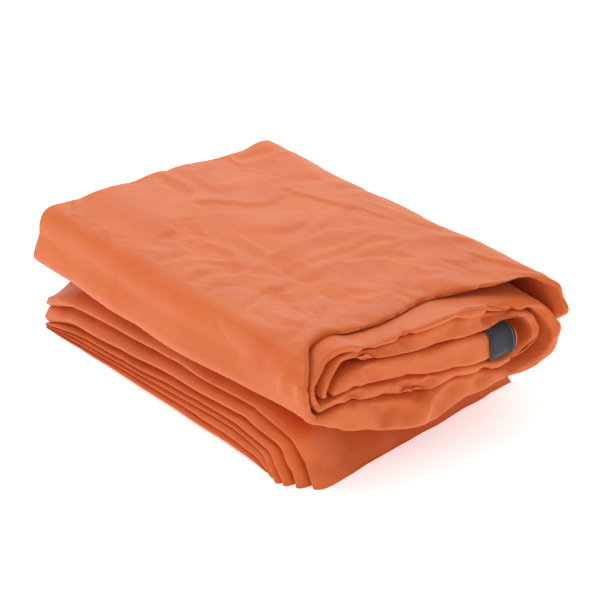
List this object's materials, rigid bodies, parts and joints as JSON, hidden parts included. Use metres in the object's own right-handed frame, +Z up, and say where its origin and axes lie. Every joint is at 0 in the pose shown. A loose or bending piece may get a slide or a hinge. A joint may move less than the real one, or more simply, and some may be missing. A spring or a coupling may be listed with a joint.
{
  "type": "bivy sack",
  "caption": "Folded coated-fabric bivy sack: a flat roll with its mouth tape showing, hinged on an accordion-pleated stack.",
  "frame": {"origin": "centre of the bundle's footprint, on the table", "axes": "+X along the folds to the loose end, -Y towards the closed folds, +Z up"},
  "size_m": [0.3, 0.204, 0.092],
  "materials": {
    "shell_fabric": "coated polyester taffeta, slight sheen",
    "fold_fabric": "coated polyester taffeta, slight sheen",
    "tape": "ribbed woven tape",
    "binding": "bound tape edge"
  },
  "bodies": {
    "base_pleat": {"stack_pleat_1": "shell_fabric", "back_fold_1": "fold_fabric"},
    "pleat_2": {"stack_pleat_2": "shell_fabric", "back_fold_2": "fold_fabric"},
    "pleat_3": {"stack_pleat_3": "shell_fabric", "back_fold_3": "fold_fabric"},
    "pleat_4": {"stack_pleat_4": "shell_fabric", "back_fold_4": "fold_fabric"},
    "pleat_5": {"stack_pleat_5": "shell_fabric", "back_fold_5": "fold_fabric"},
    "cover": {"stack_cover_leaf": "shell_fabric", "roll_hinge_fold": "fold_fabric"},
    "roll": {"underside_pass": "shell_fabric", "lower_pass": "shell_fabric", "mouth_core": "shell_fabric", "third_pass": "shell_fabric", "second_pass": "shell_fabric", "top_pass": "shell_fabric", "front_bend_outer": "shell_fabric", "front_bend_middle": "shell_fabric", "front_bend_inner": "shell_fabric", "back_bend_outer": "shell_fabric", "back_bend_middle": "shell_fabric", "back_bend_inner": "shell_fabric", "closure_tape": "tape", "tape_binding": "binding"}
  },
  "joints": [
    {"name": "pleat_2_lift", "type": "hinge", "parent": "base_pleat", "child": "pleat_2", "pos_m": [0, 0.099, 0.00485], "axis": [-1, 0, 0], "range_deg": [0, 4]},
    {"name": "pleat_3_lift", "type": "hinge", "parent": "pleat_2", "child": "pleat_3", "pos_m": [0, 0.099, 0.00985], "axis": [-1, 0, 0], "range_deg": [0, 4]},
    {"name": "pleat_4_lift", "type": "hinge", "parent": "pleat_3", "child": "pleat_4", "pos_m": [0, 0.099, 0.01485], "axis": [-1, 0, 0], "range_deg": [0, 4]},
    {"name": "pleat_5_lift", "type": "hinge", "parent": "pleat_4", "child": "pleat_5", "pos_m": [0, 0.099, 0.02085], "axis": [-1, 0, 0], "range_deg": [0, 4]},
    {"name": "cover_lift", "type": "hinge", "parent": "pleat_5", "child": "cover", "pos_m": [0, 0.099, 0.03285], "axis": [-1, 0, 0], "range_deg": [0, 4]},
    {"name": "roll_opening", "type": "hinge", "parent": "cover", "child": "roll", "pos_m": [0, 0.102, 0.046], "axis": [-1, 0, 0], "range_deg": [0, 145]}
  ]
}
